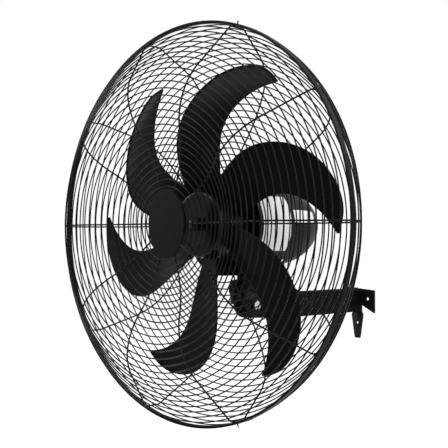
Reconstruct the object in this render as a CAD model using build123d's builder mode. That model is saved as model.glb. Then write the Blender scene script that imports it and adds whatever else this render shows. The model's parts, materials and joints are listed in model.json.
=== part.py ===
"""Wall mounted fan: a caged six blade fan head that tilts and oscillates on a steel wall arm.

Millimetres, +Z up, the fan blows along -Y. The origin is the middle of the wall
plate's back face, at the height of the arm's centre line.
"""
from build123d import *
from math import atan2, cos, degrees, radians, sin, sqrt
import os

os.makedirs("parts", exist_ok=True)

# Driving dimensions, overall
cage_radius = 305  # outside of the rim band
rim_front = -433  # front edge of the rim band, measured from the wall
rim_width = 9
rim_rear = rim_front + rim_width
axis_height = 132  # fan axis above the arm's centre line
tilt_y = -300  # tilt bolt
tilt_z = 4
spindle_y = -308  # upright pin that the head swivels on

# Wire cage
radial_count = 10
radial_wire = 1.25  # wire radii
ring_wire = 0.9
hoop_wire = 1.5
weld = 0.06  # depth to which crossing wires are set into each other
ring_pitch = 10.4
band_skin = 1.2
hoop_radius = cage_radius - band_skin - hoop_wire
radial_start = hoop_radius - hoop_wire - radial_wire + weld
wire_bend = 6  # bend radius of a radial wire where it leaves the rim
front_flank = (53, 73.7, 88.6)  # turn of that bend, length of the cone, radius of the crown
rear_flank = (36, 55.9, 63.8)
front_dish = (110, 150, 25.6)  # the dish in the middle: its two radii and their turn
rear_dish = (230, 131, 21.1)
badge_half_width = 39
badge_half_height = 51.5
badge_thickness = 2.4
badge_plate_radius = 38
guard_plate_radius = 80
guard_plate_thickness = 2

# Impeller
blade_count = 6
blade_thickness = 2.6
hub_front = rim_front + 21
hub_rear = rim_front + 68
hub_front_radius = 51
hub_rear_radius = 57
hub_wall = 3

# Motor
motor_radius = 66
motor_wall = 3
motor_front = -356
motor_seam = -264
cover_radius = 65
dome_start = -241
dome_depth = 93
dome_nose = 50  # radius of the dome's rounded end
stator_front = -335
stator_rear = -290
stator_bore = 34
air_gap = 0.5
bearing_radius = 17.5
bearing_width = 11
shaft_radius = 7.45
shaft_bearing_bore = 7.5
hub_seat_radius = 6

# Arm, neck and swivel
arm_half_height = 21
arm_half_width = 10
arm_sheet = 3
arm_full_end = -179  # where the arm's full height ends
tongue_top = 8
tongue_start = -205
eye_radius = 20.5
bolt_radius = 4
neck_ear = 4.9
neck_radius = 22
neck_top = 44
swivel_gap = 0.1
head_boss_radius = 20
head_boss_bottom = 52
spindle_radius = 7
bush_radius = 10

# Crank drive of the oscillation
crank_y = -225
crank_throw = 15.5
crank_phase = 7.8  # where the pin stands when the fan looks straight ahead
stud_x = 27
link_bottom = 45
link_thickness = 3
knob_x = -26
knob_y = -237
pin_x = crank_throw * cos(radians(crank_phase))
pin_y = crank_y + crank_throw * sin(radians(crank_phase))

fan_axis = Axis((0, 0, axis_height), (0, 1, 0))
half_section = Plane.XY.offset(axis_height)


def facing(y, x=0, z=axis_height):
    """Plane that looks out to the front at depth y: X is right, Z is up."""
    return Plane(origin=(x, y, z), x_dir=(1, 0, 0), z_dir=(0, -1, 0))


def sideways(x, y=0, z=0):
    """Plane that looks along +X, with its own axes along Y and Z."""
    return Plane(origin=(x, y, z), x_dir=(0, 1, 0), z_dir=(1, 0, 0))


def spun(angle):
    """Plane through the fan axis, turned by angle: its own X is the radius."""
    return Plane(
        origin=(0, 0, axis_height),
        x_dir=(cos(radians(angle)), 0, sin(radians(angle))),
        z_dir=(sin(radians(angle)), 0, -cos(radians(angle))),
    )


def keep(part, label):
    part.label = label
    export_step(part, f"parts/{label}.step")
    print(label, round(part.volume), "mm3")


# ---------------------------------------------------------------- wall plate
plate_thickness = 3
ear_hole_x = 23
ear_hole_z = 2
screw_hole = 3
lug_hole_z = -42

with BuildPart() as wall_plate:
    with BuildSketch(facing(0, z=0)):
        with BuildLine():
            Polyline(
                (0, 21), (38, 18), (38, -24), (9.5, -9), (9.5, -22), (12.6, -27),
                (5.7, -70), (0, -70),
            )
            mirror(about=Plane.YZ)
        make_face()
    extrude(amount=plate_thickness)
    upright = wall_plate.edges().filter_by(Axis.Y)
    fillet(upright.filter_by(lambda edge: abs(edge.center().X) > 5), radius=1.2)
    with BuildSketch(facing(0, z=0)):
        with Locations((ear_hole_x, ear_hole_z), (-ear_hole_x, ear_hole_z)):
            Circle(screw_hole)
        with Locations((0, lug_hole_z)):
            Circle(2.5)
    extrude(amount=plate_thickness, mode=Mode.SUBTRACT)
    with BuildSketch(facing(-plate_thickness, z=0)):
        with Locations((0, -60)):
            SlotCenterToCenter(12, 4, rotation=90)
    extrude(amount=1.2)
keep(wall_plate.part, "wall_plate")


# ---------------------------------------------------------------------- arm
with BuildPart() as arm:
    with BuildSketch(sideways(-arm_half_width)):
        with BuildLine():
            Polyline(
                (-plate_thickness, -arm_half_height),
                (-plate_thickness, arm_half_height),
                (arm_full_end, arm_half_height),
                (tongue_start, tongue_top),
                (tilt_y, tongue_top),
                (tilt_y, tilt_z - eye_radius),
                (tongue_start, -arm_half_height),
                (-plate_thickness, -arm_half_height),
            )
        make_face()
        with Locations((tilt_y, tilt_z)):
            Circle(eye_radius)
    extrude(amount=2 * arm_half_width)
    # the sheet is folded over the top, so the arm is open below and at its eye
    slot_half = arm_half_width - arm_sheet
    with BuildSketch(sideways(-slot_half)):
        with Locations((tilt_y - 30, -60)):
            Rectangle(
                -tilt_y + 30 - 2 * plate_thickness,
                60 + arm_half_height - arm_sheet,
                align=(Align.MIN, Align.MIN),
            )
    extrude(amount=2 * slot_half, mode=Mode.SUBTRACT)
    with BuildSketch(sideways(-arm_half_width)):
        with Locations((tilt_y, tilt_z)):
            Circle(bolt_radius + 0.1)
    extrude(amount=2 * arm_half_width, mode=Mode.SUBTRACT)
    folded = arm.edges().filter_by(Axis.Y).group_by(Axis.Z)[-1]
    fillet(folded, radius=2)
    with BuildSketch(Plane.XY.offset(arm_half_height)):
        with Locations((0, -21)):
            Rectangle(14, 24)
    extrude(amount=1.6)
keep(arm.part, "arm")


# ------------------------------------------------------------ tilt hardware
ear_inner = arm_half_width + swivel_gap
ear_outer = ear_inner + neck_ear
washer_thickness = 1.6
bolt_head = 5.5
nut_height = 6.8

with BuildPart() as pivot_spacer:
    with BuildSketch(sideways(-slot_half, tilt_y, tilt_z)):
        Circle(8)
        Circle(bolt_radius + 0.1, mode=Mode.SUBTRACT)
    extrude(amount=2 * slot_half)
keep(pivot_spacer.part, "pivot_spacer")

bolt_seat = ear_outer + washer_thickness
with BuildPart() as tilt_bolt:
    with BuildSketch(sideways(-bolt_seat - nut_height - 3, tilt_y, tilt_z)):
        Circle(bolt_radius)
    extrude(amount=2 * bolt_seat + nut_height + 3)
    with BuildSketch(sideways(bolt_seat, tilt_y, tilt_z)):
        RegularPolygon(7.5, 6, rotation=30)
    extrude(amount=bolt_head)
    chamfer(tilt_bolt.edges().group_by(Axis.X)[0], length=0.8)
keep(tilt_bolt.part, "tilt_bolt")

with BuildPart() as tilt_washers:
    for washer_x in (ear_outer, -ear_outer - washer_thickness):
        with BuildSketch(sideways(washer_x, tilt_y, tilt_z)):
            Circle(8)
            Circle(bolt_radius + 0.2, mode=Mode.SUBTRACT)
        extrude(amount=washer_thickness)
keep(tilt_washers.part, "tilt_washers")

with BuildPart() as tilt_nut:
    with BuildSketch(sideways(-bolt_seat - nut_height, tilt_y, tilt_z)):
        RegularPolygon(7.5, 6, rotation=30)
        Circle(bolt_radius + 0.02, mode=Mode.SUBTRACT)
    extrude(amount=nut_height)
keep(tilt_nut.part, "tilt_nut")


# ---------------------------------------------------------------- tilt neck
neck_bottom = tilt_z + eye_radius + 1.5
lug_radius = 8
lug_height = 8

with BuildPart() as neck:
    # ears outside the arm's eye
    for ear_x in (ear_inner, -ear_outer):
        with BuildSketch(sideways(ear_x)):
            with BuildLine():
                Polyline(
                    (tilt_y - 17, tilt_z), (spindle_y - 20, neck_bottom), (spindle_y - 20, neck_top - 8),
                    (spindle_y + 20, neck_top - 8), (spindle_y + 22, neck_bottom), (tilt_y + 17, tilt_z),
                    close=True,
                )
            make_face()
            with Locations((tilt_y, tilt_z)):
                Circle(17)
        extrude(amount=neck_ear)
    # upright boss for the spindle, and the skirt in front of the arm's eye
    with BuildSketch(Plane.XY.offset(neck_bottom)):
        with Locations((0, spindle_y)):
            Circle(neck_radius)
    extrude(amount=neck_top - neck_bottom)
    with BuildSketch(Plane.XY.offset(tilt_z + 2)):
        with Locations((0, spindle_y)):
            Circle(neck_radius)
        with Locations((0, tilt_y - eye_radius - 2)):
            Rectangle(60, 60, align=(Align.CENTER, Align.MIN), mode=Mode.SUBTRACT)
    extrude(amount=neck_bottom - tilt_z)
    # lug that carries the crank link
    with BuildSketch(Plane.XY.offset(neck_top - lug_height)):
        with Locations((stud_x / 2, spindle_y)):
            Rectangle(stud_x, 2 * lug_radius)
        with Locations((stud_x, spindle_y)):
            Circle(lug_radius)
    extrude(amount=lug_height)
    # bores: tilt bolt, spindle, link stud, set screw
    with BuildSketch(sideways(-ear_outer, tilt_y, tilt_z)):
        Circle(bolt_radius + 0.06)
    extrude(amount=2 * ear_outer, mode=Mode.SUBTRACT)
    with BuildSketch(Plane.XY.offset(neck_bottom + 1)):
        with Locations((0, spindle_y)):
            Circle(spindle_radius)
    extrude(amount=neck_top, mode=Mode.SUBTRACT)
    with BuildSketch(Plane.XY.offset(neck_top - lug_height)):
        with Locations((stud_x, spindle_y)):
            Circle(3)
    extrude(amount=lug_height, mode=Mode.SUBTRACT)
    with BuildSketch(facing(spindle_y, z=35)):
        Circle(2.5)
    extrude(amount=neck_radius + 1, mode=Mode.SUBTRACT)
keep(neck.part, "neck")

with BuildPart() as spindle:
    with BuildSketch(Plane.XY.offset(neck_bottom + 1)):
        with Locations((0, spindle_y)):
            Circle(spindle_radius)
    extrude(amount=68 - neck_bottom - 1)
    chamfer(spindle.edges().group_by(Axis.Z)[-1], length=1)
keep(spindle.part, "spindle")

with BuildPart() as thrust_washer:
    with BuildSketch(Plane.XY.offset(neck_top)):
        with Locations((0, spindle_y)):
            Circle(11.5)
            Circle(spindle_radius, mode=Mode.SUBTRACT)
    extrude(amount=head_boss_bottom - neck_top - swivel_gap)
keep(thrust_washer.part, "thrust_washer")

with BuildPart() as spindle_set_screw:
    with BuildSketch(facing(spindle_y - spindle_radius, z=35)):
        Circle(2.5)
    extrude(amount=neck_radius - spindle_radius - 1)
    with BuildSketch(facing(spindle_y - neck_radius + 1, z=35)):
        RegularPolygon(1.4, 6)
    extrude(amount=-3, mode=Mode.SUBTRACT)
keep(spindle_set_screw.part, "spindle_set_screw")

stud_head = link_bottom + link_thickness + 0.2
with BuildPart() as link_stud:
    with BuildSketch(Plane.XY.offset(neck_top - lug_height)):
        with Locations((stud_x, spindle_y)):
            Circle(3)
    extrude(amount=stud_head - neck_top + lug_height)
    with BuildSketch(Plane.XY.offset(stud_head)):
        with Locations((stud_x, spindle_y)):
            Circle(5.5)
    extrude(amount=2.6)
    fillet(link_stud.edges().group_by(Axis.Z)[-1], radius=0.8)
    with BuildSketch(Plane.XY.offset(neck_top)):
        with Locations((stud_x, spindle_y)):
            Circle(5)
    extrude(amount=link_bottom - neck_top - swivel_gap)
keep(link_stud.part, "link_stud")


# --------------------------------------------------------------- crank drive
with BuildPart() as crank_link:
    with BuildSketch(Plane.XY.offset(link_bottom)):
        with Locations((stud_x, spindle_y), (pin_x, pin_y)):
            Circle(6)
        make_hull()
        with Locations((stud_x, spindle_y)):
            Circle(3.06, mode=Mode.SUBTRACT)
        with Locations((pin_x, pin_y)):
            Circle(3.3, mode=Mode.SUBTRACT)
    extrude(amount=link_thickness)
keep(crank_link.part, "crank_link")

crank_shaft_radius = 4
crank_disc_bottom = 54
crank_disc_thickness = 4
gearbox_bottom = 104
pin_bottom = link_bottom + link_thickness + 0.6

with BuildPart() as crank:
    with BuildSketch(Plane.XY.offset(crank_disc_bottom)):
        with Locations((0, crank_y)):
            Circle(9)
        with Locations((pin_x, pin_y)):
            Circle(6)
        make_hull()
    extrude(amount=crank_disc_thickness)
    with BuildSketch(Plane.XY.offset(crank_disc_bottom + crank_disc_thickness)):
        with Locations((0, crank_y)):
            Circle(crank_shaft_radius)
    extrude(amount=gearbox_bottom + 8 - crank_disc_bottom - crank_disc_thickness)
    with BuildSketch(Plane.XY.offset(crank_disc_bottom)):
        with Locations((pin_x, pin_y)):
            Circle(3)
    extrude(amount=crank_disc_thickness, mode=Mode.SUBTRACT)
keep(crank.part, "crank")

with BuildPart() as crank_pin:
    with BuildSketch(Plane.XY.offset(pin_bottom)):
        with Locations((pin_x, pin_y)):
            Circle(3)
    extrude(amount=crank_disc_bottom + crank_disc_thickness - pin_bottom)
    chamfer(crank_pin.edges().group_by(Axis.Z)[0], length=0.6)
keep(crank_pin.part, "crank_pin")


# ---------------------------------------------------------------- motor case
front_boss_radius = 22
front_boss_depth = 8
front_wall = 4
front_corner = 8
guard_screw_circle = 40
boss_top = axis_height - motor_radius + 6

with BuildPart() as motor_front_shell:
    with BuildSketch(half_section):
        with BuildLine():
            Polyline(
                (8.5, motor_front - front_boss_depth),
                (front_boss_radius, motor_front - front_boss_depth),
                (front_boss_radius, motor_front),
                (motor_radius - front_corner, motor_front),
            )
            RadiusArc(
                (motor_radius - front_corner, motor_front),
                (motor_radius, motor_front + front_corner),
                front_corner,
            )
            Polyline(
                (motor_radius, motor_front + front_corner),
                (motor_radius, motor_seam),
                (0, motor_seam),
                (0, motor_front - front_boss_depth),
                (8.5, motor_front - front_boss_depth),
            )
        make_face()
    revolve(axis=fan_axis)
    with BuildSketch(Plane.XY.offset(head_boss_bottom)):
        with Locations((0, spindle_y)):
            Circle(head_boss_radius)
        with Locations((0, spindle_y + 22)):
            Rectangle(12, 36)
        with Locations((0, spindle_y - 22)):
            Rectangle(12, 36)
    extrude(amount=boss_top + 10 - head_boss_bottom)
    # hollow inside, with a seat for the front bearing
    with BuildSketch(half_section):
        with BuildLine():
            Polyline(
                (0, motor_front - front_boss_depth),
                (8.5, motor_front - front_boss_depth),
                (8.5, motor_front - front_boss_depth + 2),
                (bearing_radius, motor_front - front_boss_depth + 2),
                (bearing_radius, motor_front + front_wall),
                (motor_radius - motor_wall - 4, motor_front + front_wall),
                (motor_radius - motor_wall, motor_front + front_wall + 4),
                (motor_radius - motor_wall, motor_seam),
                (0, motor_seam),
                close=True,
            )
        make_face()
    revolve(axis=fan_axis, mode=Mode.SUBTRACT)
    with BuildSketch(Plane.XY.offset(head_boss_bottom)):
        with Locations((0, spindle_y)):
            Circle(bush_radius)
    extrude(amount=boss_top - head_boss_bottom, mode=Mode.SUBTRACT)
    with BuildSketch(facing(motor_front + front_wall)):
        with PolarLocations(guard_screw_circle, 4, start_angle=45):
            Circle(2.5)
    extrude(amount=front_wall, mode=Mode.SUBTRACT)
keep(motor_front_shell.part, "motor_front_shell")

with BuildPart() as spindle_bush:
    with BuildSketch(Plane.XY.offset(head_boss_bottom)):
        with Locations((0, spindle_y)):
            Circle(bush_radius)
            Circle(spindle_radius + 0.05, mode=Mode.SUBTRACT)
    extrude(amount=16.5)
keep(spindle_bush.part, "spindle_bush")


dome_flank = (cover_radius ** 2 + dome_depth ** 2 - 2 * dome_depth * dome_nose) / 2
dome_flank = dome_flank / (cover_radius - dome_nose)
dome_turn = degrees(atan2(dome_depth - dome_nose, dome_flank - cover_radius))


def dome_radius(y):
    """Radius of the rear cover's flank at y, ahead of its rounded end."""
    return cover_radius - dome_flank + sqrt(dome_flank ** 2 - (y - dome_start) ** 2)


cover_wall = 3
gland_y = -185
gland_angle = -120  # the cable leaves on the side away from the crank
gland_way = Plane(
    origin=(0, gland_y, axis_height), x_dir=(0, 1, 0),
    z_dir=(cos(radians(gland_angle)), 0, sin(radians(gland_angle))),
)
cover_screw_y = -256
screw_angles = (60, 180, 300)


def dome_section(shrink):
    """Half section of the rear cover's dome, drawn in by shrink."""
    radius = cover_radius - shrink
    with BuildSketch(half_section) as section:
        with BuildLine():
            flank = JernArc((radius, dome_start), (0, 1), dome_flank - shrink, dome_turn)
            nose = JernArc(flank @ 1, flank % 1, dome_nose - shrink, 90 - dome_turn)
            Polyline((radius, dome_start), (radius, motor_seam), (0, motor_seam), nose @ 1)
        make_face()
    return section.sketch


with BuildPart() as motor_rear_cover:
    revolve(dome_section(0), axis=fan_axis)
    # seats for the knob rod above and the crank shaft below
    for seat_x, seat_y, seat_radius, seat_low, seat_high in (
        (knob_x, knob_y, 7, axis_height + 50, axis_height + 64),
        (0, crank_y, 11, axis_height - dome_radius(crank_y) - 3, axis_height - 60),
    ):
        with BuildSketch(Plane.XY.offset(seat_low)):
            with Locations((seat_x, seat_y)):
                Circle(seat_radius)
        extrude(amount=seat_high - seat_low)
    revolve(dome_section(cover_wall), axis=fan_axis, mode=Mode.SUBTRACT)
    for hole_x, hole_y, hole_radius, low, high in (
        (knob_x, knob_y, 3.06, axis_height, axis_height + 80),
        (0, crank_y, 7, axis_height - 80, axis_height),
    ):
        with BuildSketch(Plane.XY.offset(low)):
            with Locations((hole_x, hole_y)):
                Circle(hole_radius)
        extrude(amount=high - low, mode=Mode.SUBTRACT)
    for angle in screw_angles:
        out = Vector(cos(radians(angle)), 0, sin(radians(angle)))
        with BuildSketch(Plane(origin=(0, cover_screw_y, axis_height), x_dir=(0, 1, 0), z_dir=out)):
            Circle(2.05)
        extrude(amount=cover_radius + 1, mode=Mode.SUBTRACT)
    with BuildSketch(gland_way):
        Circle(5)
    extrude(amount=80, mode=Mode.SUBTRACT)
keep(motor_rear_cover.part, "motor_rear_cover")

crank_bush_top = axis_height - 60
crank_bush_bottom = axis_height - dome_radius(crank_y) - 3
with BuildPart() as crank_bush:
    with BuildSketch(Plane.XY.offset(crank_bush_bottom)):
        with Locations((0, crank_y)):
            Circle(7)
            Circle(crank_shaft_radius + 0.06, mode=Mode.SUBTRACT)
    extrude(amount=crank_bush_top - crank_bush_bottom)
keep(crank_bush.part, "crank_bush")

gland_skin = dome_radius(gland_y)
with BuildPart() as cable_gland:
    with BuildSketch(gland_way.offset(gland_skin - 7)):
        Circle(4.9)
        Circle(3, mode=Mode.SUBTRACT)
    extrude(amount=14)
    with BuildSketch(gland_way.offset(gland_skin + 6)):
        RegularPolygon(9, 6)
        Circle(3, mode=Mode.SUBTRACT)
    extrude(amount=6)
keep(cable_gland.part, "cable_gland")

shield_rim = 56
shield_front = motor_seam - 10
shield_back = motor_seam + 14
with BuildPart() as end_shield:
    with BuildSketch(half_section):
        with BuildLine():
            Polyline(
                (8.5, motor_seam - 6),
                (shield_rim, motor_seam - 6),
                (shield_rim, shield_front),
                (motor_radius - motor_wall, shield_front),
                (motor_radius - motor_wall, motor_seam),
                (cover_radius - cover_wall, motor_seam),
                (cover_radius - cover_wall, shield_back),
                (shield_rim, shield_back),
                (shield_rim, motor_seam - 2),
                (22, motor_seam - 2),
                (22, motor_seam + 8),
                (bearing_radius, motor_seam + 8),
                (bearing_radius, motor_seam - 3),
                (8.5, motor_seam - 3),
                close=True,
            )
        make_face()
    revolve(axis=fan_axis)
    for angle in screw_angles:
        out = Vector(cos(radians(angle)), 0, sin(radians(angle)))
        with BuildSketch(Plane(origin=(0, cover_screw_y, axis_height), x_dir=(0, 1, 0), z_dir=out)):
            Circle(2)
        extrude(amount=cover_radius, mode=Mode.SUBTRACT)
keep(end_shield.part, "end_shield")

with BuildPart() as cover_screws:
    for angle in screw_angles:
        out = Vector(cos(radians(angle)), 0, sin(radians(angle)))
        for start, length, radius in ((shield_rim, cover_radius - shield_rim, 2), (cover_radius, 2, 4)):
            foot = Vector(0, cover_screw_y, axis_height) + out * start
            with BuildSketch(Plane(origin=foot, x_dir=(0, 1, 0), z_dir=out)):
                Circle(radius)
            extrude(amount=length)
keep(cover_screws.part, "cover_screws")


def sleeve(name, inner, outer, y_front, y_rear):
    """Plain ring about the fan axis."""
    with BuildPart() as ring:
        with BuildSketch(facing(y_rear)):
            Circle(outer)
            Circle(inner, mode=Mode.SUBTRACT)
        extrude(amount=y_rear - y_front)
    keep(ring.part, name)


bearing_seat = motor_front - front_boss_depth + 2
sleeve("front_bearing", shaft_bearing_bore, bearing_radius, bearing_seat, bearing_seat + bearing_width)
sleeve("rear_bearing", shaft_bearing_bore, bearing_radius, motor_seam - 3, motor_seam + 8)
sleeve("rotor_core", shaft_radius, stator_bore - air_gap, stator_front, stator_rear)

slot_count = 24
with BuildPart() as stator_core:
    with BuildSketch(facing(stator_rear)):
        Circle(motor_radius - motor_wall)
        Circle(stator_bore, mode=Mode.SUBTRACT)
        with PolarLocations(stator_bore + 9, slot_count):
            SlotOverall(14, 4, mode=Mode.SUBTRACT)
    extrude(amount=stator_rear - stator_front)
keep(stator_core.part, "stator_core")

winding_radius = 46
winding_half = 8
with BuildPart() as stator_windings:
    for winding_y in (stator_front - 6, stator_rear + 6):
        with BuildSketch(half_section):
            with Locations((winding_radius, winding_y)):
                RectangleRounded(2 * winding_half, 12, 4)
        revolve(axis=fan_axis)
keep(stator_windings.part, "stator_windings")

gearbox_front = motor_seam + 8
gearbox_rear = -196
gearbox_top = 160
with BuildPart() as gearbox_housing:
    with BuildSketch(Plane.XY.offset(gearbox_bottom)):
        with Locations((-6, (gearbox_front + gearbox_rear) / 2)):
            RectangleRounded(64, gearbox_rear - gearbox_front, 6)
    extrude(amount=gearbox_top - gearbox_bottom)
    fillet(gearbox_housing.edges().group_by(Axis.Z)[-1], radius=3)
    with BuildSketch(facing(crank_y - 5)):
        Circle(5.06)
    extrude(amount=60, mode=Mode.SUBTRACT)
    with BuildSketch(Plane.XY.offset(gearbox_bottom)):
        with Locations((0, crank_y)):
            Circle(crank_shaft_radius + 0.06)
    extrude(amount=8.5, mode=Mode.SUBTRACT)
    with BuildSketch(Plane.XY.offset(gearbox_top - 24)):
        with Locations((knob_x, knob_y)):
            Circle(3.06)
    extrude(amount=30, mode=Mode.SUBTRACT)
keep(gearbox_housing.part, "gearbox_housing")

with BuildPart() as run_capacitor:
    with BuildSketch(facing(gearbox_rear + 16, -2, 128)):
        RectangleRounded(38, 26, 3)
    extrude(amount=16)
keep(run_capacitor.part, "run_capacitor")

with BuildPart() as knob_rod:
    with BuildSketch(Plane.XY.offset(gearbox_top - 22)):
        with Locations((knob_x, knob_y)):
            Circle(3)
    extrude(amount=axis_height + 72 - gearbox_top + 22)
keep(knob_rod.part, "knob_rod")

knob_bottom = axis_height + 66
with BuildPart() as oscillation_knob:
    knob_plane = Plane(origin=(knob_x, knob_y, 0), x_dir=(1, 0, 0), z_dir=(0, -1, 0))
    with BuildSketch(knob_plane):
        with BuildLine():
            Polyline(
                (3, knob_bottom), (7, knob_bottom), (7, knob_bottom + 6), (9.5, knob_bottom + 9),
                (9.5, knob_bottom + 16),
            )
            RadiusArc((9.5, knob_bottom + 16), (5, knob_bottom + 19), -5)
            Polyline(
                (5, knob_bottom + 19), (0, knob_bottom + 19), (0, knob_bottom + 6),
                (3, knob_bottom + 6), (3, knob_bottom),
            )
        make_face()
    revolve(axis=Axis((knob_x, knob_y, 0), (0, 0, 1)))
    with BuildSketch(Plane.XY.offset(knob_bottom + 9)):
        with Locations((knob_x, knob_y)):
            with PolarLocations(10.2, 12):
                Circle(1.4)
    extrude(amount=8, mode=Mode.SUBTRACT)
keep(oscillation_knob.part, "oscillation_knob")


# --------------------------------------------------------------------- rotor
shaft_front = hub_front - 14
with BuildPart() as motor_shaft:
    with BuildSketch(half_section):
        with BuildLine():
            Polyline(
                (0, shaft_front), (hub_seat_radius - 1, shaft_front), (hub_seat_radius, shaft_front + 1),
                (hub_seat_radius, hub_rear + 0.5), (shaft_radius, hub_rear + 0.5),
                (shaft_radius, motor_seam + 7), (5, motor_seam + 7), (5, crank_y - 6), (0, crank_y - 6),
                close=True,
            )
        make_face()
    revolve(axis=fan_axis)
    with BuildSketch(facing(hub_rear - 3, z=axis_height)):
        Rectangle(30, 3.2)
    extrude(amount=3.2, mode=Mode.SUBTRACT)
keep(motor_shaft.part, "motor_shaft")

with BuildPart() as drive_pin:
    with BuildSketch(facing(hub_rear - 3)):
        Rectangle(24, 3.1)
    extrude(amount=3.1)
keep(drive_pin.part, "drive_pin")


# ------------------------------------------------------------------ impeller
# planform of one blade, in its own frame: x runs out along the blade, y against the spin
blade_lead = [(24, -8), (76, -9), (110, -8), (140, -9), (168, -18), (195, -40), (216, -73), (225, -99)]
blade_trail = [(228, -100), (243, -76), (247, -32), (229, 16), (191, 52), (140, 67), (86, 57), (24, 34)]
blade_turn = 140  # direction of the first blade's own x axis
blade_camber = 2
blade_base = -35.5  # highest line of the leading edge, behind the rim's front edge


def blade_slope(reach):
    """Rise of the blade towards its trailing edge, falling from root to tip."""
    return 0.08 + 0.6 * (1 - min(reach, 240) / 240) ** 1.6


def blade_depth(reach, across):
    """Depth of the blade's mid surface behind the rim, with a slight camber."""
    lead = blade_base - (reach - 160) ** 2 / 770
    camber = blade_camber * (1 - ((across - 25) / 95) ** 2)
    return lead + blade_slope(reach) * (across + 4) - camber


def blade_line(reach, side):
    """Points across one face of the blade; side is 1 for the front face and -1 for the rear."""
    return [
        (across, blade_depth(reach, across) + side * blade_thickness / 2) for across in (-115, -45, 20, 90)
    ]


with BuildPart() as blade_sheet:
    for reach in (15, 60, 110, 160, 205, 250):
        station = Plane(origin=(reach, 0, 0), x_dir=(0, 1, 0), z_dir=(1, 0, 0))
        with BuildSketch(station):
            with BuildLine():
                front_line = Spline(blade_line(reach, 1))
                rear_line = Spline(blade_line(reach, -1))
                Line(front_line @ 0, rear_line @ 0)
                Line(front_line @ 1, rear_line @ 1)
            make_face()
    loft()

with BuildPart() as blade_outline:
    with BuildSketch(Plane.XY.offset(-120)):
        with BuildLine():
            lead_edge = Spline(blade_lead)
            trail_edge = Spline(blade_trail)
            tip_arc = ThreePointArc(lead_edge @ 1, (227, -101.5), trail_edge @ 0)
            Line(trail_edge @ 1, lead_edge @ 0)
        make_face()
    extrude(amount=160)

hub_boss_radius = 14
pin_back = hub_rear - 3


def blade_place(turn):
    """Frame of one blade: its x runs outwards and its z points to the front."""
    direction = radians(blade_turn + turn)
    return Plane(
        origin=(0, rim_front, axis_height), x_dir=(cos(direction), 0, sin(direction)), z_dir=(0, -1, 0)
    )


with BuildPart() as impeller:
    with BuildSketch(half_section):
        with BuildLine():
            Line((0, hub_front), (hub_front_radius - 5, hub_front))
            RadiusArc((hub_front_radius - 5, hub_front), (hub_front_radius, hub_front + 5), 5)
            Polyline(
                (hub_front_radius, hub_front + 5), (hub_rear_radius, hub_rear),
                (hub_rear_radius - hub_wall, hub_rear), (hub_front_radius - hub_wall, hub_front + 6),
                (hub_boss_radius, hub_front + 4), (hub_boss_radius, pin_back), (0, pin_back), (0, hub_front),
            )
        make_face()
    revolve(axis=fan_axis)
    hub_drum = Cylinder(hub_front_radius - 1, 400, mode=Mode.PRIVATE)
    blade = (blade_sheet.part & blade_outline.part) - hub_drum
    for turn in range(0, 360, 360 // blade_count):
        add(blade_place(turn).location * blade)
    # ribs between the boss and the hub's wall
    for turn in range(0, 180, 360 // blade_count):
        with BuildSketch(blade_place(turn + 30).offset(-(hub_front - rim_front) - 3)):
            with Locations((-hub_front_radius / 2 - 4, 0), (hub_front_radius / 2 + 4, 0)):
                Rectangle(hub_front_radius - 14, 2.4)
        extrude(amount=-(pin_back - hub_front - 8))
    with BuildSketch(facing(pin_back + 1)):
        Circle(hub_seat_radius)
    extrude(amount=80, mode=Mode.SUBTRACT)
    with BuildSketch(facing(pin_back)):
        Rectangle(24.2, 3.2)
    extrude(amount=3.2, mode=Mode.SUBTRACT)
keep(impeller.part, "impeller")

with BuildPart() as hub_washer:
    with BuildSketch(facing(hub_front)):
        Circle(12)
        Circle(hub_seat_radius + 0.1, mode=Mode.SUBTRACT)
    extrude(amount=2)
keep(hub_washer.part, "hub_washer")

with BuildPart() as hub_nut:
    with BuildSketch(facing(hub_front - 2)):
        RegularPolygon(11, 6)
        Circle(hub_seat_radius + 0.02, mode=Mode.SUBTRACT)
    extrude(amount=9)
keep(hub_nut.part, "hub_nut")


# ---------------------------------------------------------------------- cage
front_hoop_y = rim_front + band_skin + hoop_wire
rear_hoop_y = rim_rear - band_skin - hoop_wire
front_wire_end = 30
rear_wire_end = 62
guard_plate_front = motor_front - guard_plate_thickness


def cage_path(side, start, rise, flank, dish, wire_end):
    """Centre line of a radial wire: radius along x, and the front along y.

    It leaves the rim along the axis, bends into a cone, turns over a crown and
    dishes back to a level end. The side is 1 for the front and -1 for the rear.
    """
    rim_level = -rim_front if side > 0 else -rim_rear
    bend_turn, cone_length, crown_radius = flank
    with BuildLine() as path:
        rise_line = Line((radial_start, start), (radial_start, rim_level + side * rise))
        bend = JernArc(rise_line @ 1, (0, side), wire_bend, side * bend_turn)
        cone = Line(bend @ 1, bend @ 1 + (bend % 1) * cone_length)
        crown = JernArc(cone @ 1, cone % 1, crown_radius, side * (90 - bend_turn))
        fall = JernArc(crown @ 1, crown % 1, dish[0], side * dish[2])
        level = JernArc(fall @ 1, fall % 1, dish[1], -side * dish[2])
        Line(level @ 1, (wire_end, (level @ 1).Y))
    return path.wires()[0]


def flank_rise(flank):
    """How far bend, cone and crown reach beyond the straight start of a wire."""
    turn = radians(flank[0])
    return wire_bend * sin(turn) + flank[1] * cos(turn) + flank[2] * (1 - sin(turn))


rear_dish_fall = (rear_dish[0] + rear_dish[1]) * (1 - cos(radians(rear_dish[2])))
rear_wire_level = guard_plate_front - radial_wire + weld
rear_rise = rear_wire_level - rim_rear - flank_rise(rear_flank) + rear_dish_fall
front_path = cage_path(1, -front_hoop_y - 1.2, 0, front_flank, front_dish, front_wire_end)
rear_path = cage_path(-1, -rear_hoop_y + 1.2, rear_rise, rear_flank, rear_dish, rear_wire_end)
front_wire_level = -(front_path @ 1).Y


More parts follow.
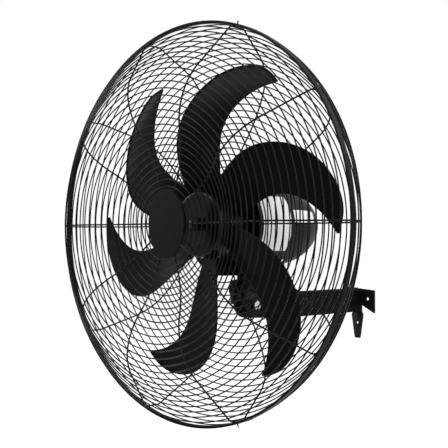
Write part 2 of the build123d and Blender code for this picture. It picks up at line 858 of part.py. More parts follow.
def radial_wires(path):
    """The radial wires of one guard, all along one path, evenly spaced."""
    with BuildPart() as wires:
        for number in range(radial_count):
            place = spun(number * 360 / radial_count)
            route = place.location * path
            with BuildSketch(Plane(origin=route @ 0, z_dir=route % 0)):
                Circle(radial_wire)
            sweep(path=route)
    return wires.part


def ring_wires(path, side, hoop_y, innermost):
    """The hoop in the rim band, and rings a steady step apart outside the radial wires."""
    lift = radial_wire + ring_wire - weld
    count = int(path.length / ring_pitch)
    with BuildPart() as rings:
        with BuildSketch(half_section):
            with Locations((hoop_radius, hoop_y)):
                RegularPolygon(hoop_wire - 0.02, 8, major_radius=False, rotation=22.5)
            for number in range(1, count):
                along = (number * ring_pitch + 4) / path.length
                if along < 1 and (path @ along).X > innermost:
                    point = path @ along
                    tangent = path % along
                    outward = Vector(side * tangent.Y, -side * tangent.X)
                    # one flat of the section lies on the radial wires
                    turn = degrees(atan2(-outward.Y, outward.X)) + 30
                    with Locations((point.X + outward.X * lift, -(point.Y + outward.Y * lift))):
                        RegularPolygon(ring_wire, 6, major_radius=False, rotation=turn)
        revolve(axis=fan_axis)
    return rings.part


keep(radial_wires(front_path), "front_guard_radials")
keep(ring_wires(front_path, 1, front_hoop_y, badge_half_height + 1.5), "front_guard_rings")
keep(radial_wires(rear_path), "rear_guard_radials")
keep(ring_wires(rear_path, -1, rear_hoop_y, guard_plate_radius + 2), "rear_guard_rings")

with BuildPart() as rear_guard_plate:
    with BuildSketch(facing(motor_front)):
        Circle(guard_plate_radius)
        Circle(front_boss_radius + 1, mode=Mode.SUBTRACT)
        with PolarLocations(guard_screw_circle, 4, start_angle=45):
            Circle(2.6, mode=Mode.SUBTRACT)
    extrude(amount=guard_plate_thickness)
keep(rear_guard_plate.part, "rear_guard_plate")

with BuildPart() as rear_guard_screws:
    for y, length, radius in ((motor_front + front_wall, front_wall + guard_plate_thickness, 2.5),
                              (guard_plate_front, 3, 5)):
        with BuildSketch(facing(y)):
            with PolarLocations(guard_screw_circle, 4, start_angle=45):
                Circle(radius)
        extrude(amount=length)
keep(rear_guard_screws.part, "rear_guard_screws")

badge_back = front_wire_level - radial_wire + weld
badge_plate_front = front_wire_level + radial_wire - weld
badge_plate_thickness = 1.5
with BuildPart() as badge_cap:
    with BuildSketch(facing(badge_back)):
        Ellipse(badge_half_width, badge_half_height)
    extrude(amount=badge_thickness)
    fillet(badge_cap.edges().group_by(Axis.Y)[0], radius=1.2)
    with BuildSketch(facing(badge_plate_front)):
        Circle(7)
    extrude(amount=badge_plate_front - badge_back)
    with BuildSketch(facing(badge_plate_front)):
        Circle(2.5)
    extrude(amount=3.2, mode=Mode.SUBTRACT)
keep(badge_cap.part, "badge_cap")

with BuildPart() as badge_plate:
    with BuildSketch(facing(badge_plate_front + badge_plate_thickness)):
        Circle(badge_plate_radius)
        Circle(2.6, mode=Mode.SUBTRACT)
    extrude(amount=badge_plate_thickness)
keep(badge_plate.part, "badge_plate")

with BuildPart() as badge_screw:
    with BuildSketch(facing(badge_plate_front + badge_plate_thickness)):
        Circle(2.5)
    extrude(amount=badge_plate_thickness + 3)
    with BuildSketch(facing(badge_plate_front + badge_plate_thickness + 2.5)):
        Circle(4.5)
    extrude(amount=2.5)
keep(badge_screw.part, "badge_screw")

lip_radius = 302.5
clamp_inner = 299.6  # inner radius of the clamp's lugs
clamp_angle = -68
clamp_gap = 2
clamp_lug = 3
clamp_depth = 8  # reach of the clamp lugs behind the band
clamp_place = spun(clamp_angle)
with BuildPart() as rim_band:
    with BuildSketch(half_section):
        with BuildLine():
            Polyline(
                (cage_radius, rim_front), (cage_radius, rim_rear), (lip_radius, rim_rear),
                (lip_radius, rim_rear - band_skin), (cage_radius - band_skin, rim_rear - band_skin),
                (cage_radius - band_skin, rim_front + band_skin), (lip_radius, rim_front + band_skin),
                (lip_radius, rim_front), close=True,
            )
        make_face()
    revolve(axis=fan_axis)
    with BuildSketch(clamp_place):
        with Locations((clamp_inner, -rim_rear)):
            Rectangle(cage_radius - clamp_inner - 0.4, clamp_depth, align=(Align.MIN, Align.MAX))
    extrude(amount=clamp_gap / 2 + clamp_lug, both=True)
    with BuildSketch(clamp_place):
        with Locations((cage_radius, -rim_rear)):
            Rectangle(16, 40)
    extrude(amount=clamp_gap / 2, both=True, mode=Mode.SUBTRACT)
    with BuildSketch(clamp_place):
        with Locations((clamp_inner + 2.5, -rim_rear - clamp_depth / 2)):
            Circle(1.6)
    extrude(amount=clamp_gap / 2 + clamp_lug, both=True, mode=Mode.SUBTRACT)
keep(rim_band.part, "rim_band")

clamp_seat = clamp_gap / 2 + clamp_lug
with BuildPart() as rim_clamp_screw:
    for start, length, radius in ((-clamp_seat - 4, 2 * clamp_seat + 4, 1.5), (clamp_seat, 2, 2.8)):
        with BuildSketch(clamp_place.offset(start)):
            with Locations((clamp_inner + 2.5, -rim_rear - clamp_depth / 2)):
                Circle(radius)
        extrude(amount=length)
keep(rim_clamp_screw.part, "rim_clamp_screw")

with BuildPart() as rim_clamp_nut:
    with BuildSketch(clamp_place.offset(-clamp_seat - 2.4)):
        with Locations((clamp_inner + 2.5, -rim_rear - clamp_depth / 2)):
            RegularPolygon(3, 6)
            Circle(1.52, mode=Mode.SUBTRACT)
    extrude(amount=2.4)
keep(rim_clamp_nut.part, "rim_clamp_nut")

with BuildPart() as guard_tabs:
    tab_reach = 4.5
    for angle in (72, -72):
        tab_foot = spun(angle).from_local_coords((radial_start + radial_wire - weld, -rim_rear - 1, 0))
        with BuildSketch(Plane(origin=tab_foot, z_dir=spun(angle).x_dir)):
            Circle(1)
        extrude(amount=cage_radius + tab_reach - radial_start - radial_wire)
keep(guard_tabs.part, "guard_tabs")
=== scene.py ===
import json
import math
import bmesh
import bpy
import numpy as np
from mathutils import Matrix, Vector


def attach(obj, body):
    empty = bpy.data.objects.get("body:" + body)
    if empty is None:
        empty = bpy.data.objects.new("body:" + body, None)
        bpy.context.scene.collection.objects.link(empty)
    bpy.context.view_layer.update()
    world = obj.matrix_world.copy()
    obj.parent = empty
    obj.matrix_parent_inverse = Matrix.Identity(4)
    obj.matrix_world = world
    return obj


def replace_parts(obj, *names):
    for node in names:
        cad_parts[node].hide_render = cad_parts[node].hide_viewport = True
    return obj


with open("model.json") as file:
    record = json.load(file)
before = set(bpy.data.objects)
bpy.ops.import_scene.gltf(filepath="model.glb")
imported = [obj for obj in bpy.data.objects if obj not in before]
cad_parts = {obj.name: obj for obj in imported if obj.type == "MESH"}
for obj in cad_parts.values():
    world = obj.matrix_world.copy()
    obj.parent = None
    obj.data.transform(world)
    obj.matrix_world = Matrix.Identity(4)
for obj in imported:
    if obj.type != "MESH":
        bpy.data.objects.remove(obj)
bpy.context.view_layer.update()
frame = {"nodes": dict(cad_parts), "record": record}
print("frame loaded", len(frame["nodes"]), "nodes")

# grain is the size of a finish's mottle and bump its height, in metres; spread is how far the colour varies
finishes = {
    "cagePaint": dict(colour=(0.0025, 0.0025, 0.003), roughness=0.22, specular=0.09),
    "bandPaint": dict(colour=(0.003, 0.003, 0.0035), roughness=0.4, specular=0.05),
    "bladePlastic": dict(colour=(0.003, 0.003, 0.003), roughness=0.34, specular=0.03,
                         grain=0.0015, bump=0.00004),
    "hubPlastic": dict(colour=(0.003, 0.003, 0.0035), roughness=0.2, specular=0.16),
    "badgePlastic": dict(colour=(0.006, 0.005, 0.0055), roughness=0.6, specular=0.05,
                         grain=0.001, bump=0.00003),
    "motorPaint": dict(colour=(0.006, 0.0065, 0.007), roughness=0.42, specular=0.08,
                       grain=0.002, bump=0.00005),
    "neckPaint": dict(colour=(0.004, 0.004, 0.006), roughness=0.45, specular=0.08, grain=0.003, bump=0.0002),
    "armPaint": dict(colour=(0.003, 0.003, 0.0045), roughness=0.5, specular=0.03, grain=0.002, bump=0.00004),
    "platePaint": dict(colour=(0.005, 0.005, 0.006), roughness=0.45, specular=0.12,
                       grain=0.002, bump=0.00004),
    "knobPlastic": dict(colour=(0.010, 0.010, 0.010), roughness=0.5, specular=0.3),
    "glandNylon": dict(colour=(0.012, 0.012, 0.012), roughness=0.55, specular=0.25),
    "palePlastic": dict(colour=(0.55, 0.55, 0.50), roughness=0.5),
    "zincSteel": dict(colour=(0.55, 0.55, 0.54), roughness=0.3, metallic=1.0, grain=0.006),
    "blackSteel": dict(colour=(0.004, 0.004, 0.0045), roughness=0.22, specular=0.16),
    "coreSteel": dict(colour=(0.22, 0.22, 0.23), roughness=0.45, metallic=1.0, grain=0.0008),
    "castAluminium": dict(colour=(0.6, 0.6, 0.6), roughness=0.45, metallic=1.0, bump=0.0001),
    "sinteredBronze": dict(colour=(0.5, 0.33, 0.16), roughness=0.5, metallic=1.0),
    "copperWire": dict(colour=(0.5, 0.2, 0.08), roughness=0.4, metallic=0.8, grain=0.001),
    "labelPaper": dict(colour=(0.92, 0.92, 0.91), roughness=0.5, spread=0.02),
}
mottle = dict(detail=3, roughnessSpread=0.05, bumpStrength=0.5)


def newMaterial(name, colour, roughness, metallic=0.0, specular=0.5):
    mat = bpy.data.materials.new(name)
    mat.use_nodes = True
    shader = mat.node_tree.nodes["Principled BSDF"]
    shader.inputs["Base Color"].default_value = (*colour, 1)
    shader.inputs["Roughness"].default_value = roughness
    shader.inputs["Metallic"].default_value = metallic
    shader.inputs["Specular IOR Level"].default_value = specular
    return mat, shader


def spreadAbout(tree, value, middle, spread):
    # carries 0..1 to middle - spread .. middle + spread
    carry = tree.nodes.new("ShaderNodeMapRange")
    carry.inputs["To Min"].default_value = middle - spread
    carry.inputs["To Max"].default_value = middle + spread
    tree.links.new(value, carry.inputs["Value"])
    return carry.outputs["Result"]


def addMottle(mat, shader, colour, roughness, grain, spread, bump):
    # colour, roughness and bump all follow one noise on Object coordinates
    tree = mat.node_tree
    place = tree.nodes.new("ShaderNodeTexCoord")
    noise = tree.nodes.new("ShaderNodeTexNoise")
    noise.inputs["Scale"].default_value = 1 / grain
    noise.inputs["Detail"].default_value = mottle["detail"]
    tree.links.new(place.outputs["Object"], noise.inputs["Vector"])
    tinted = tree.nodes.new("ShaderNodeVectorMath")
    tinted.operation = "SCALE"
    tinted.inputs[0].default_value = colour
    tree.links.new(spreadAbout(tree, noise.outputs["Fac"], 1, spread), tinted.inputs["Scale"])
    tree.links.new(tinted.outputs["Vector"], shader.inputs["Base Color"])
    sheen = spreadAbout(tree, noise.outputs["Fac"], roughness, mottle["roughnessSpread"])
    tree.links.new(sheen, shader.inputs["Roughness"])
    if bump:
        relief = tree.nodes.new("ShaderNodeBump")
        relief.inputs["Distance"].default_value = bump
        relief.inputs["Strength"].default_value = mottle["bumpStrength"]
        tree.links.new(noise.outputs["Fac"], relief.inputs["Height"])
        tree.links.new(relief.outputs["Normal"], shader.inputs["Normal"])


def finish(name, colour, roughness, metallic=0.0, specular=0.5, grain=0.004, spread=0.08, bump=0.0):
    mat, shader = newMaterial(name, colour, roughness, metallic, specular)
    addMottle(mat, shader, colour, roughness, grain, spread, bump)
    return mat


mats = {name: finish(name, **values) for name, values in finishes.items()}

finishNodes = {
    "cagePaint": ["front_guard_rings", "front_guard_radials", "rear_guard_rings", "rear_guard_radials",
                  "rear_guard_plate", "badge_plate", "guard_tabs"],
    "bandPaint": ["rim_band"],
    "bladePlastic": ["impeller"],
    "badgePlastic": ["badge_cap"],
    "motorPaint": ["motor_front_shell", "motor_rear_cover"],
    "neckPaint": ["neck"],
    "armPaint": ["arm"],
    "platePaint": ["wall_plate"],
    "knobPlastic": ["oscillation_knob"],
    "glandNylon": ["cable_gland", "thrust_washer"],
    "palePlastic": ["gearbox_housing", "run_capacitor"],
    "zincSteel": ["tilt_bolt", "tilt_nut", "pivot_spacer", "spindle", "link_stud", "crank_link", "crank",
                  "crank_pin", "cover_screws", "front_bearing", "rear_bearing", "knob_rod", "drive_pin",
                  "rear_guard_screws", "badge_screw"],
    "blackSteel": ["hub_washer", "hub_nut", "motor_shaft", "tilt_washers", "spindle_set_screw",
                   "rim_clamp_screw", "rim_clamp_nut"],
    "coreSteel": ["rotor_core", "stator_core"],
    "castAluminium": ["end_shield"],
    "sinteredBronze": ["spindle_bush", "crank_bush"],
    "copperWire": ["stator_windings"],
}
finishOf = {node: name for name, nodes in finishNodes.items() for node in nodes}
for node, name in finishOf.items():
    solid = frame["nodes"][node].data
    solid.materials.clear()
    solid.materials.append(mats[name])
print("finishes on the carried over solids")

axisHeight = 0.132    # of the fan's axis above the arm's centre line
bodyOf = {node: body for body, nodes in frame["record"]["behaviour"]["bodies"].items() for node in nodes}
mergeDistance = 1e-6
sharpAngle = dict(solid=30, grid=35, wire=60)    # an edge that turns more than this, in degrees, shows


def newObject(name, data):
    obj = bpy.data.objects.new(name, data)
    bpy.context.scene.collection.objects.link(obj)
    return obj


def meshPiece(name, mesh, body, material, sharp):
    # doubles merged, open loops closed, normals outwards, smooth except at real edges
    work = bmesh.new()
    work.from_mesh(mesh)
    bmesh.ops.remove_doubles(work, verts=work.verts, dist=mergeDistance)
    rim = [edge for edge in work.edges if edge.is_boundary]
    if rim:
        bmesh.ops.holes_fill(work, edges=rim, sides=0)
    bmesh.ops.recalc_face_normals(work, faces=work.faces)
    work.to_mesh(mesh)
    work.free()
    mesh.polygons.foreach_set("use_smooth", np.ones(len(mesh.polygons), bool))
    mesh.set_sharp_from_angle(angle=math.radians(sharp))
    obj = newObject(name, mesh)
    mesh.materials.clear()
    mesh.materials.append(mats[material])
    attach(obj, body)
    return obj


def gridPiece(name, points, body, material, closeU=False, closeV=False, sharp="grid", parts=1):
    # points is parts x rows x columns x 3; faces join each point to its neighbours in its own part,
    # and closeU and closeV join the last row or column to the first
    points = points.reshape(parts, *points.shape[-3:])
    rows, cols = points.shape[1:3]
    part, row, col = np.meshgrid(
        np.arange(parts), np.arange(rows if closeU else rows - 1), np.arange(cols if closeV else cols - 1),
        indexing="ij",
    )

    def corner(a, b):
        return (part * rows + a % rows) * cols + b % cols

    faces = np.stack(
        [corner(row, col), corner(row + 1, col), corner(row + 1, col + 1), corner(row, col + 1)], -1
    )
    mesh = bpy.data.meshes.new(name)
    mesh.from_pydata(points.reshape(-1, 3).tolist(), [], faces.reshape(-1, 4).tolist())
    return meshPiece(name, mesh, body, material, sharpAngle[sharp])


def aboutFanAxis(radius, depth, angle):
    # a point at radius and angle about the fan axis, and depth along it
    return np.stack([radius * np.cos(angle), depth + 0 * angle, axisHeight + radius * np.sin(angle)], -1)


smoothNodes = ["motor_front_shell", "motor_rear_cover", "neck", "arm", "wall_plate", "tilt_bolt", "tilt_nut",
               "tilt_washers", "badge_cap", "rim_band", "oscillation_knob", "cable_gland", "cover_screws",
               "rear_guard_plate", "crank", "crank_link", "link_stud", "thrust_washer", "guard_tabs",
               "motor_shaft", "hub_washer", "rear_guard_screws"]


def smoothCopy(node):
    # the solid's own triangles, joined up so that round faces shade smoothly
    mesh = frame["nodes"][node].data.copy()
    obj = meshPiece(node + "Smooth", mesh, bodyOf[node], finishOf[node], sharpAngle["solid"])
    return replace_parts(obj, node)


for node in smoothNodes:
    smoothCopy(node)
print("smooth copies")

# metres, with each wire's size as its radius
cage = dict(
    radius=0.305, rimFront=-0.433, rimWidth=0.009, skin=0.0012, endPastHoop=0.0012, plateFront=-0.358,
    hoopWire=0.0015, radialWire=0.00125, ringWire=0.001, weld=0.00006, ringSink=0.00021,
    radials=10, pitch=0.0104, firstRing=0.0144,
    arcSteps=60, pathSteps=110, wireSides=10, ringSteps=150,
)
# a radial wire from the rim inwards: a bend, a straight cone, the crown's arc, then two arcs that turn
# one way and back as the dish begins, and straight on to its end; the rings stop at innermost
frontGuard = dict(bend=0.006, bendTurn=53, cone=0.0737, crown=0.0886, dishStart=0.110, dishFoot=0.150,
                  dishTurn=25.6, end=0.030, innermost=0.041)
rearGuard = dict(bend=0.006, bendTurn=36, cone=0.0559, crown=0.0638, dishStart=0.230, dishFoot=0.131,
                 dishTurn=21.1, end=0.062, innermost=0.082)
hoopRadius = cage["radius"] - cage["skin"] - cage["hoopWire"]
radialStart = hoopRadius - cage["hoopWire"] - cage["radialWire"] + cage["weld"]
rimFront = -cage["rimFront"]
rimRear = rimFront - cage["rimWidth"]
frontHoop = rimFront - cage["skin"] - cage["hoopWire"]
rearHoop = rimRear + cage["skin"] + cage["hoopWire"]
wireRound = np.linspace(0, 2 * math.pi, cage["wireSides"], endpoint=False)


def withLine(path, length):
    # the path carried straight on
    radius, reach, heading = path[-1]
    end = [radius + length * math.cos(heading), reach + length * math.sin(heading), heading]
    return np.vstack([path, end])


def withArc(path, size, turn):
    # the path carried on round an arc: an arc of radius R from heading h to k
    # goes R*(sin k - sin h) in radius and R*(cos h - cos k) in reach
    radius, reach, heading = path[-1]
    later = heading + math.radians(turn) * np.linspace(0, 1, cage["arcSteps"])[1:]
    signed = math.copysign(size, turn)
    radii = radius + signed * (np.sin(later) - math.sin(heading))
    reaches = reach + signed * (math.cos(heading) - np.cos(later))
    return np.vstack([path, np.stack([radii, reaches, later], -1)])


def cagePath(guard, side, start, rimLevel, rise):
    # radius, reach to the front and heading along one radial wire, and the length up to each point
    heading = side * math.pi / 2
    path = np.array([[radialStart, start, heading], [radialStart, rimLevel + side * rise, heading]])
    path = withArc(path, guard["bend"], side * guard["bendTurn"])
    path = withLine(path, guard["cone"])
    path = withArc(path, guard["crown"], side * (90 - guard["bendTurn"]))
    path = withArc(path, guard["dishStart"], side * guard["dishTurn"])
    path = withArc(path, guard["dishFoot"], -side * guard["dishTurn"])
    path = np.vstack([path, [guard["end"], *path[-1, 1:]]])
    steps = np.hypot(*np.diff(path[:, :2], axis=0).T)
    return path, np.concatenate([[0], np.cumsum(steps)])


def flankRise(guard):
    # how far bend, cone and crown reach beyond the straight start
    turn = math.radians(guard["bendTurn"])
    return (
        guard["bend"] * math.sin(turn) + guard["cone"] * math.cos(turn)
        + guard["crown"] * (1 - math.sin(turn))
    )


def dishFall(guard):
    # how far the two arcs of the dish come back
    return (guard["dishStart"] + guard["dishFoot"]) * (1 - math.cos(math.radians(guard["dishTurn"])))


def alongPath(path, length, at):
    return [np.interp(at, length, path[:, k]) for k in range(3)]


def radialWires(name, node, path, length):
    # a round section of the wire's radius, square to the path, copied round the fan axis
    radius, reach, heading = alongPath(path, length, np.linspace(0, length[-1], cage["pathSteps"]))
    turn = (np.arange(cage["radials"]) * 2 * math.pi / cage["radials"])[:, None, None]
    lift = cage["radialWire"] * np.cos(wireRound)
    aside = cage["radialWire"] * np.sin(wireRound)
    out = radius[:, None] - np.sin(heading)[:, None] * lift
    forward = reach[:, None] + np.cos(heading)[:, None] * lift
    x = out * np.cos(turn) - aside * np.sin(turn)
    z = axisHeight + out * np.sin(turn) + aside * np.cos(turn)
    points = np.stack([x, -forward + 0 * turn, z], -1)
    obj = gridPiece(name, points, "head", "cagePaint", closeV=True, parts=len(turn),
                    sharp="wire")
    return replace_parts(obj, node)


def ringWires(name, node, path, length, side, hoop, innermost):
    # circles about the fan axis with a round section, outside the radial wires, plus the thick hoop
    at = cage["firstRing"] + cage["pitch"] * np.arange(int(length[-1] / cage["pitch"]) - 1)
    radius, reach, heading = alongPath(path, length, at)
    keep = radius > innermost
    lift = cage["radialWire"] + cage["ringWire"] - cage["ringSink"]
    radius = np.append((radius + side * np.sin(heading) * lift)[keep], hoopRadius)[:, None, None]
    reach = np.append((reach - side * np.cos(heading) * lift)[keep], hoop)[:, None, None]
    wire = np.full_like(radius, cage["ringWire"])
    wire[-1] = cage["hoopWire"]
    around = np.linspace(0, 2 * math.pi, cage["ringSteps"], endpoint=False)[None, :, None]
    out = radius + wire * np.cos(wireRound)
    depth = wire * np.sin(wireRound) - reach + 0 * around
    points = aboutFanAxis(out, depth, around + 0 * out)
    obj = gridPiece(name, points, "head", "cagePaint", closeU=True, closeV=True,
                    parts=len(radius), sharp="wire")
    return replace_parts(obj, node)


frontPath = cagePath(frontGuard, 1, frontHoop - cage["endPastHoop"], rimFront, 0)
# the rear wires end on the front face of the rear guard plate, which sets their straight start
rearLevel = -cage["plateFront"] + cage["radialWire"] - cage["weld"]
rearRise = rimRear - rearLevel - flankRise(rearGuard) + dishFall(rearGuard)
rearPath = cagePath(rearGuard, -1, rearHoop + cage["endPastHoop"], rimRear, rearRise)
radialWires("frontRadials", "front_guard_radials", *frontPath)
radialWires("rearRadials", "rear_guard_radials", *rearPath)
ringWires("frontRings", "front_guard_rings", *frontPath, 1, frontHoop, frontGuard["innermost"])
ringWires("rearRings", "rear_guard_rings", *rearPath, -1, rearHoop, rearGuard["innermost"])
print("cage wires")

perMetre = 1000
# millimetres and degrees; lead and trail are the blade's edges in its own plane, reach by over
blade = dict(
    lead=[(24, -8), (76, -9), (110, -8), (140, -9), (168, -18), (195, -40), (216, -73), (225, -99)],
    trail=[(24, 34), (86, 57), (140, 67), (191, 52), (229, 16), (247, -32), (243, -76), (228, -100)],
    rootRadius=50.3, rootShare=0.125, firstTurn=140, count=6,
    thickness=2.6, edgeRound=1.3, rimWidth=3, rimHeight=1.8, rimFade=1.2, rimRound=1.0,
    base=-35.5, bowMiddle=160, bowSpread=770, camber=2, camberMiddle=25, camberHalf=95,
    tipSlope=0.08, rootSlope=0.6, slopeReach=240, slopePower=1.6, slopePivot=-4,
    rows=70, columns=64, edgeSteps=400,
)


def curveThrough(points, count):
    # natural cubic spline over the chord length: c is its second derivative at each point
    p = np.array(points, float)
    t = np.concatenate([[0], np.cumsum(np.linalg.norm(np.diff(p, axis=0), axis=1))])
    h = np.diff(t)
    sides = np.zeros((len(p), len(p)))
    sides[0, 0] = sides[-1, -1] = 1
    inner = np.arange(1, len(p) - 1)
    sides[inner, inner - 1] = h[:-1]
    sides[inner, inner] = 2 * (h[:-1] + h[1:])
    sides[inner, inner + 1] = h[1:]
    slope = np.diff(p, axis=0) / h[:, None]
    known = np.zeros_like(p)
    known[1:-1] = 6 * np.diff(slope, axis=0)
    c = np.linalg.solve(sides, known)
    at = np.linspace(0, t[-1], count)
    k = np.clip(np.searchsorted(t, at, side="right") - 1, 0, len(h) - 1)
    s, w = (at - t[k])[:, None], h[k][:, None]
    return (
        p[k] + s * (slope[k] - w * (2 * c[k] + c[k + 1]) / 6)
        + s ** 2 * c[k] / 2 + s ** 3 * (c[k + 1] - c[k]) / (6 * w)
    )


def bladeEdge(points):
    # the part of an edge outside the root circle, at evenly spread places
    edge = curveThrough(points, blade["edgeSteps"])
    edge = edge[np.hypot(*edge.T) > blade["rootRadius"]]
    pick = np.linspace(0, 1, blade["rows"]) * (len(edge) - 1)
    return edge[np.round(pick).astype(int)]


def bladeOutline():
    # lines across from lead to trail, closer near both edges; the first ones are drawn onto the root circle
    lead = bladeEdge(blade["lead"])
    trail = bladeEdge(blade["trail"])
    across = (1 - np.cos(np.pi * np.linspace(0, 1, blade["columns"]))) / 2
    flat = lead[:, None] * (1 - across)[None, :, None] + trail[:, None] * across[None, :, None]
    root = flat[0] / np.hypot(*flat[0].T)[:, None] * blade["rootRadius"]
    pull = np.clip(1 - np.linspace(0, 1, blade["rows"]) / blade["rootShare"], 0, 1)[:, None, None]
    width = np.linalg.norm(trail - lead, axis=1)[:, None]
    return flat + pull * (root - flat[0]), across * width, (1 - across) * width


def quarterRound(part):
    # height of a unit quarter circle, from 0 at its foot to 1 at its top
    return np.sqrt(1 - (1 - np.clip(part, 0, 1)) ** 2)


def bladeSurface():
    # depth as a slope that falls from root to tip, on a bow along the reach, less a camber across;
    # the thickness closes round both edges and a rim stands along the trailing edge
    flat, nearLead, nearTrail = bladeOutline()
    reach, over = flat[..., 0], flat[..., 1]
    outwards = 1 - np.clip(reach, None, blade["slopeReach"]) / blade["slopeReach"]
    slope = blade["tipSlope"] + blade["rootSlope"] * outwards ** blade["slopePower"]
    bow = blade["base"] - (reach - blade["bowMiddle"]) ** 2 / blade["bowSpread"]
    camber = blade["camber"] * (1 - ((over - blade["camberMiddle"]) / blade["camberHalf"]) ** 2)
    middle = bow + slope * (over - blade["slopePivot"]) - camber
    half = blade["thickness"] / 2 * quarterRound(np.minimum(nearLead, nearTrail) / blade["edgeRound"])
    stand = np.clip((blade["rimWidth"] + blade["rimFade"] / 2 - nearTrail) / blade["rimFade"], 0, 1)
    rim = blade["rimHeight"] * stand * quarterRound(nearTrail / blade["rimRound"])
    front = np.stack([reach, over, middle + half + rim], -1)
    rear = np.stack([reach, over, middle - half], -1)
    return np.concatenate([front, rear[:, ::-1]], 1)


def placeBlades(surface):
    # the blade's own reach, over and rise become radius directions and depth, turned for each blade
    turn = np.radians(blade["firstTurn"] + 360 / blade["count"] * np.arange(blade["count"]))
    cos, sin = np.cos(turn)[:, None, None], np.sin(turn)[:, None, None]
    x = surface[..., 0] * cos - surface[..., 1] * sin
    z = surface[..., 0] * sin + surface[..., 1] * cos
    depth = cage["rimFront"] * perMetre - surface[..., 2] + 0 * cos
    return np.stack([x, depth, z], -1) / perMetre + np.array([0, 0, axisHeight])


turnedSteps = 96


def turned(profile):
    # a closed profile of radius and depth, in millimetres, carried round the fan axis
    outline = np.array(profile) / perMetre
    angle = np.linspace(0, 2 * math.pi, turnedSteps, endpoint=False)[:, None]
    return aboutFanAxis(outline[:, 0] + 0 * angle, outline[:, 1] + 0 * angle, angle)


def roundedCorner(radius, front, rounding, steps):
    # a quarter circle about the point that lies rounding inwards from both faces
    turn = np.radians(np.linspace(0, 90, steps))
    return np.stack(
        [radius - rounding + rounding * np.sin(turn), front + rounding - rounding * np.cos(turn)], -1
    )


# millimetres, as radii about the fan axis and as depths along it
hub = dict(front=-412, rear=-365, frontRadius=51, rearRadius=57, wall=3, rounding=5, cornerSteps=8,
           backAtWall=-406, backAtBoss=-408, bossRadius=14, bossRear=-368, bore=6)
hubProfile = [
    (hub["bore"], hub["front"]),
    *roundedCorner(hub["frontRadius"], hub["front"], hub["rounding"], hub["cornerSteps"]),
    (hub["rearRadius"], hub["rear"]),
    (hub["rearRadius"] - hub["wall"], hub["rear"]),
    (hub["frontRadius"] - hub["wall"], hub["backAtWall"]),
    (hub["bossRadius"], hub["backAtBoss"]),
    (hub["bossRadius"], hub["bossRear"]),
    (hub["bore"], hub["bossRear"]),
]
gridPiece("hub", turned(hubProfile), "rotor", "hubPlastic", closeU=True, closeV=True)
blades = gridPiece("blades", placeBlades(bladeSurface()), "rotor", "bladePlastic",
                   closeV=True, parts=blade["count"])
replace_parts(blades, "impeller")
print("impeller")

# the rounded front corner of the motor's shell, in millimetres, over the solid's own hollow one
shell = dict(radius=66, front=-356, rounding=8, wall=3, frontWall=4, bevel=4, cornerSteps=12)
shellInside = shell["front"] + shell["frontWall"]
shellProfile = [
    *roundedCorner(shell["radius"], shell["front"], shell["rounding"], shell["cornerSteps"]),
    (shell["radius"] - shell["wall"], shellInside + shell["bevel"]),
    (shell["radius"] - shell["wall"] - shell["bevel"], shellInside),
    (shell["radius"] - shell["rounding"], shellInside),
]
gridPiece("caseCorner", turned(shellProfile), "head", "motorPaint",
          closeU=True, closeV=True)
print("case corner")

# blank labels between two depths and two angles, in metres and degrees: the wide one is on the shell
# and the small one on the tapered cover
ratingLabel = dict(front=-0.334, rear=-0.268, low=-38, high=43, lift=0.00025, sink=0, steps=(40, 8))
smallLabel = dict(front=-0.258, rear=-0.202, low=4, high=22, lift=0.0003, sink=0.0012, steps=(16, 24))
labelRadius = 0.0661    # just off the shell
cover = dict(start=-0.241, radius=0.065, depth=0.093, nose=0.050)


def coverRadius(y):
    # the rear cover's flank is an arc tangent to its straight front part and to its rounded nose:
    # its radius is (R^2 + D^2 - 2*D*n) / (2*(R - n)), for radius R, depth D and nose n
    wide, deep, nose = cover["radius"], cover["depth"], cover["nose"]
    flank = (wide ** 2 + deep ** 2 - 2 * deep * nose) / (2 * (wide - nose))
    back = np.clip(y - cover["start"], 0, None)
    return wide - flank + np.sqrt(flank ** 2 - back ** 2)


def labelOn(name, radiusAt, front, rear, low, high, lift, sink, steps):
    # the motor's own curve, raised by lift and closed underneath at sink
    turn = np.radians(np.linspace(low, high, steps[0]))
    depth = np.linspace(front, rear, steps[1])
    tt, yy = np.meshgrid(turn, depth, indexing="ij")
    outer = aboutFanAxis(radiusAt(yy) + lift, yy, tt)
    inner = aboutFanAxis(radiusAt(yy) - sink, yy, tt)
    ring = np.concatenate([outer, inner[:, ::-1]], 1)
    return gridPiece(name, ring, "head", "labelPaper", closeV=True)


labelOn("ratingLabel", lambda y: np.full_like(y, labelRadius), **ratingLabel)
labelOn("smallLabel", coverRadius, **smallLabel)
print("labels")

# the camera looks past the middle of the rim by the sideways angle
photo = dict(azimuth=46.4, elevation=-1.3, distance=1.407, lens=74.8, sensor=36, sideways=2.236,
             clipStart=0.05, clipEnd=60)
rimCentre = Vector((0, cage["rimFront"], axisHeight))
azimuth = math.radians(photo["azimuth"])
elevation = math.radians(photo["elevation"])
back = Vector((math.sin(azimuth) * math.cos(elevation), -math.cos(azimuth) * math.cos(elevation),
               math.sin(elevation)))
toRight = Vector((math.cos(azimuth), math.sin(azimuth), 0))
look = toRight * math.tan(math.radians(photo["sideways"])) - back
camera = newObject("camera", bpy.data.cameras.new("camera"))
camera.data.lens = photo["lens"]
camera.data.sensor_width = photo["sensor"]
camera.location = rimCentre + back * photo["distance"]
camera.rotation_euler = look.to_track_quat("-Z", "Y").to_euler()
camera.data.clip_start = photo["clipStart"]
camera.data.clip_end = photo["clipEnd"]
bpy.context.scene.camera = camera

# the room lights the object and is seen as white; the floor glows only for the rays that see it
studio = dict(roomLight=0.6, seenLight=1.0, floorSize=14, floorHeight=-1.7, floorGlow=0.62,
              floorColour=(0.86, 0.86, 0.86), floorRoughness=0.9, floorSpecular=0.1)
white = (1, 1, 1, 1)


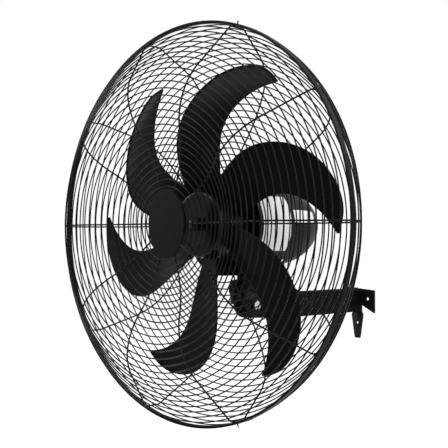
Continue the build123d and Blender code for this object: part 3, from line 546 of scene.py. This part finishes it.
def seenWhite(tree):
    # 1 for camera rays and for mirror and glass rays, which see plain white, and 0 for the rest
    path = tree.nodes.new("ShaderNodeLightPath")
    total = path.outputs["Is Camera Ray"]
    for ray in ("Is Glossy Ray", "Is Transmission Ray"):
        either = tree.nodes.new("ShaderNodeMath")
        either.operation = "MAXIMUM"
        tree.links.new(total, either.inputs[0])
        tree.links.new(path.outputs[ray], either.inputs[1])
        total = either.outputs[0]
    return total


world = bpy.data.worlds.new("studio")
bpy.context.scene.world = world
world.use_nodes = True
tree = world.node_tree
dim = tree.nodes["Background"]
dim.inputs["Color"].default_value = white
dim.inputs["Strength"].default_value = studio["roomLight"]
bright = tree.nodes.new("ShaderNodeBackground")
bright.inputs["Color"].default_value = white
bright.inputs["Strength"].default_value = studio["seenLight"]
chooser = tree.nodes.new("ShaderNodeMixShader")
tree.links.new(seenWhite(tree), chooser.inputs["Fac"])
tree.links.new(dim.outputs[0], chooser.inputs[1])
tree.links.new(bright.outputs[0], chooser.inputs[2])
tree.links.new(chooser.outputs[0], tree.nodes["World Output"].inputs["Surface"])

mesh = bpy.data.meshes.new("floor")
size = studio["floorSize"]
corners = [(x * size, y * size, studio["floorHeight"]) for x, y in ((-1, -1), (1, -1), (1, 1), (-1, 1))]
mesh.from_pydata(corners, [], [(0, 1, 2, 3)])
floor = newObject("floor", mesh)
floorMat, floorShader = newMaterial("floorPaper", studio["floorColour"], studio["floorRoughness"],
                                    specular=studio["floorSpecular"])
floorTree = floorMat.node_tree
glow = floorTree.nodes.new("ShaderNodeMath")
glow.operation = "MULTIPLY"
glow.inputs[1].default_value = studio["floorGlow"]
floorTree.links.new(seenWhite(floorTree), glow.inputs[0])
floorTree.links.new(glow.outputs[0], floorShader.inputs["Emission Strength"])
floorShader.inputs["Emission Color"].default_value = white
floor.data.materials.append(floorMat)

lamps = {
    "keyLamp": dict(place=(-1.5, -2.6, 1.5), power=26, size=0.5),
    "sideLamp": dict(place=(-2.6, -1.4, 1.2), power=14, size=0.5),
    "fillLamp": dict(place=(2.4, -1.6, 0.9), power=34, size=1.8),
    "rearLamp": dict(place=(1.2, 1.4, 1.6), power=16, size=1.4),
}
for name, values in lamps.items():
    light = bpy.data.lights.new(name, "AREA")
    light.energy = values["power"]
    light.size = values["size"]
    lamp = newObject(name, light)
    lamp.location = values["place"]
    lamp.rotation_euler = (rimCentre - lamp.location).to_track_quat("-Z", "Y").to_euler()
bpy.context.scene.view_settings.view_transform = "Standard"
print("camera, floor and lamps")
